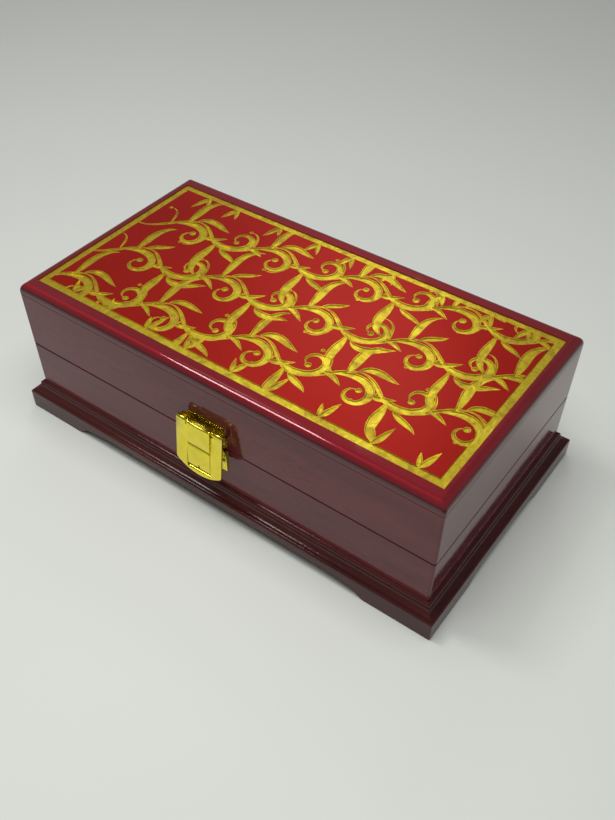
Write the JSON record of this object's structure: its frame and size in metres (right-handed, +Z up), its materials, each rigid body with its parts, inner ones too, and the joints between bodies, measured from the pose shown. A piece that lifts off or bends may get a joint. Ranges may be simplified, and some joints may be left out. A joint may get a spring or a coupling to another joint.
{
  "type": "wooden box",
  "caption": "Lacquered wooden box with a hinged lid, brass toggle latch, moulded plinth on bracket feet and an inlaid red and gilt lid panel.",
  "frame": {"origin": "on the ground at the middle of the plinth's footprint", "axes": "+X along the length, towards the right end seen from the front; the front with the latch faces -Y; +Z up"},
  "size_m": [0.2522, 0.1421, 0.08],
  "materials": {
    "dark_lacquer": "dark red-brown wood under polished lacquer",
    "crimson_lacquer": "crimson high gloss lacquer",
    "floor_board": "thin stained board",
    "velvet": "deep red velvet",
    "gilt_border": "bright gilt metal strip",
    "red_panel": "satin red metallic panel with gilt ornament",
    "gilt_brass": "bright yellow gilt plating",
    "hinge_brass": "polished brass"
  },
  "bodies": {
    "base": {"base_floor_pad": "velvet", "base_floor_panel": "floor_board", "base_lining_back": "velvet", "base_lining_front": "velvet", "base_lining_left": "velvet", "base_lining_right": "velvet", "base_wall_back": "dark_lacquer", "base_wall_front": "dark_lacquer", "base_wall_left": "dark_lacquer", "base_wall_right": "dark_lacquer", "hinge_base_screws": "hinge_brass", "hinge_left_base_leaf": "hinge_brass", "hinge_left_pin": "hinge_brass", "hinge_right_base_leaf": "hinge_brass", "hinge_right_pin": "hinge_brass", "latch_body_nails": "gilt_brass", "latch_body_plate": "gilt_brass", "latch_pivot_pins": "gilt_brass", "plinth_back": "dark_lacquer", "plinth_front": "dark_lacquer", "plinth_left": "dark_lacquer", "plinth_right": "dark_lacquer"},
    "lid": {"hinge_left_lid_leaf": "hinge_brass", "hinge_lid_screws": "hinge_brass", "hinge_right_lid_leaf": "hinge_brass", "inlay_border": "gilt_border", "inlay_panel": "red_panel", "latch_strike": "gilt_brass", "latch_strike_nails": "gilt_brass", "lid_lining_back": "velvet", "lid_lining_front": "velvet", "lid_lining_left": "velvet", "lid_lining_right": "velvet", "lid_pad": "velvet", "lid_top_board": "crimson_lacquer", "lid_wall_back": "dark_lacquer", "lid_wall_front": "dark_lacquer", "lid_wall_left": "dark_lacquer", "lid_wall_right": "dark_lacquer"},
    "lever": {"latch_lever": "gilt_brass", "latch_hook_pin": "gilt_brass"},
    "hook": {"latch_hook": "gilt_brass"}
  },
  "joints": [
    {"name": "lid_hinge", "type": "hinge", "parent": "base", "child": "lid", "pos_m": [0, 0.06525, 0.0434], "axis": [-1, 0, 0], "range_deg": [0, 100]},
    {"name": "lever_swing", "type": "hinge", "parent": "base", "child": "lever", "pos_m": [-0.0015, -0.0678, 0.055], "axis": [-1, 0, 0], "range_deg": [-3, 110]},
    {"name": "hook_swing", "type": "hinge", "parent": "lever", "child": "hook", "pos_m": [-0.0015, -0.07067, 0.03147], "axis": [-1, 0, 0], "range_deg": [-122, 4]}
  ],
  "couplings": [
    {"joint": "hook_swing", "follows": "lever_swing", "ratio": -1.1}
  ]
}
